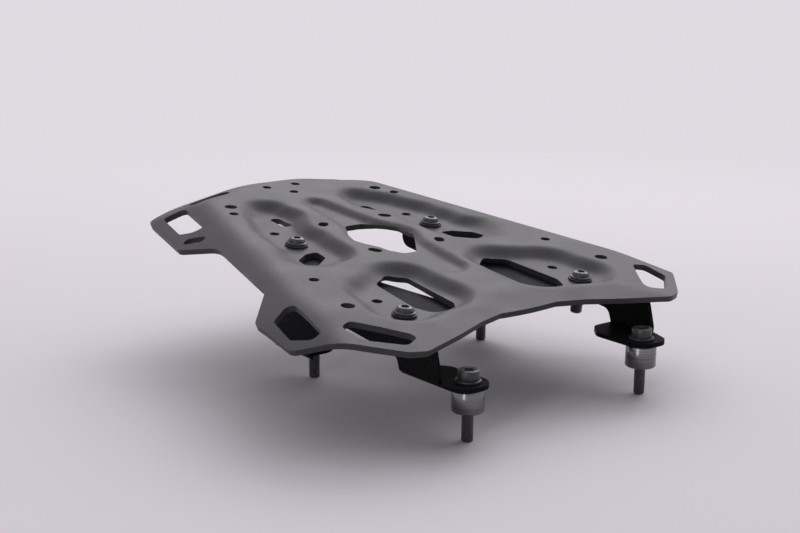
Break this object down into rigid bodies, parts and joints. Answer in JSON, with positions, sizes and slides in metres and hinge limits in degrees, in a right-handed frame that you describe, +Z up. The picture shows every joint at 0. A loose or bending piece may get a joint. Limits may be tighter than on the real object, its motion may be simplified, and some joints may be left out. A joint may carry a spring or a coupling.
{
  "type": "motorcycle luggage rack",
  "caption": "Pressed luggage rack plate with strap windows and accessory holes, screwed to two folded brackets with bolted feet and turned spacers.",
  "frame": {"origin": "centre of the four foot bolts, halfway down the 19 mm that enter the frame of the motorcycle", "axes": "+Z up, square to the mounting plane, +Y to the rear of the motorcycle, +X to its left side; the plate slopes 6.6 degrees, rear end up"},
  "size_m": [0.3246, 0.327, 0.1012],
  "materials": {
    "plate": "matte",
    "bracket": "satin",
    "fastener": "satin",
    "washer": "satin",
    "spacer": "satin"
  },
  "bodies": {
    "root": {"rack_plate": "plate", "bracket_left": "bracket", "spacer_left": "spacer", "plate_screw_rear_left": "fastener", "plate_washer_rear_left": "washer", "under_washer_rear_left": "washer", "lock_nut_rear_left": "fastener", "foot_bolt_rear_left": "fastener", "foot_washer_rear_left": "washer", "plate_screw_front_left": "fastener", "plate_washer_front_left": "washer", "under_washer_front_left": "washer", "lock_nut_front_left": "fastener", "foot_bolt_front_left": "fastener", "foot_washer_front_left": "washer", "bracket_right": "bracket", "spacer_right": "spacer", "plate_screw_rear_right": "fastener", "plate_washer_rear_right": "washer", "under_washer_rear_right": "washer", "lock_nut_rear_right": "fastener", "foot_bolt_rear_right": "fastener", "foot_washer_rear_right": "washer", "plate_screw_front_right": "fastener", "plate_washer_front_right": "washer", "under_washer_front_right": "washer", "lock_nut_front_right": "fastener", "foot_bolt_front_right": "fastener", "foot_washer_front_right": "washer"}
  },
  "joints": []
}
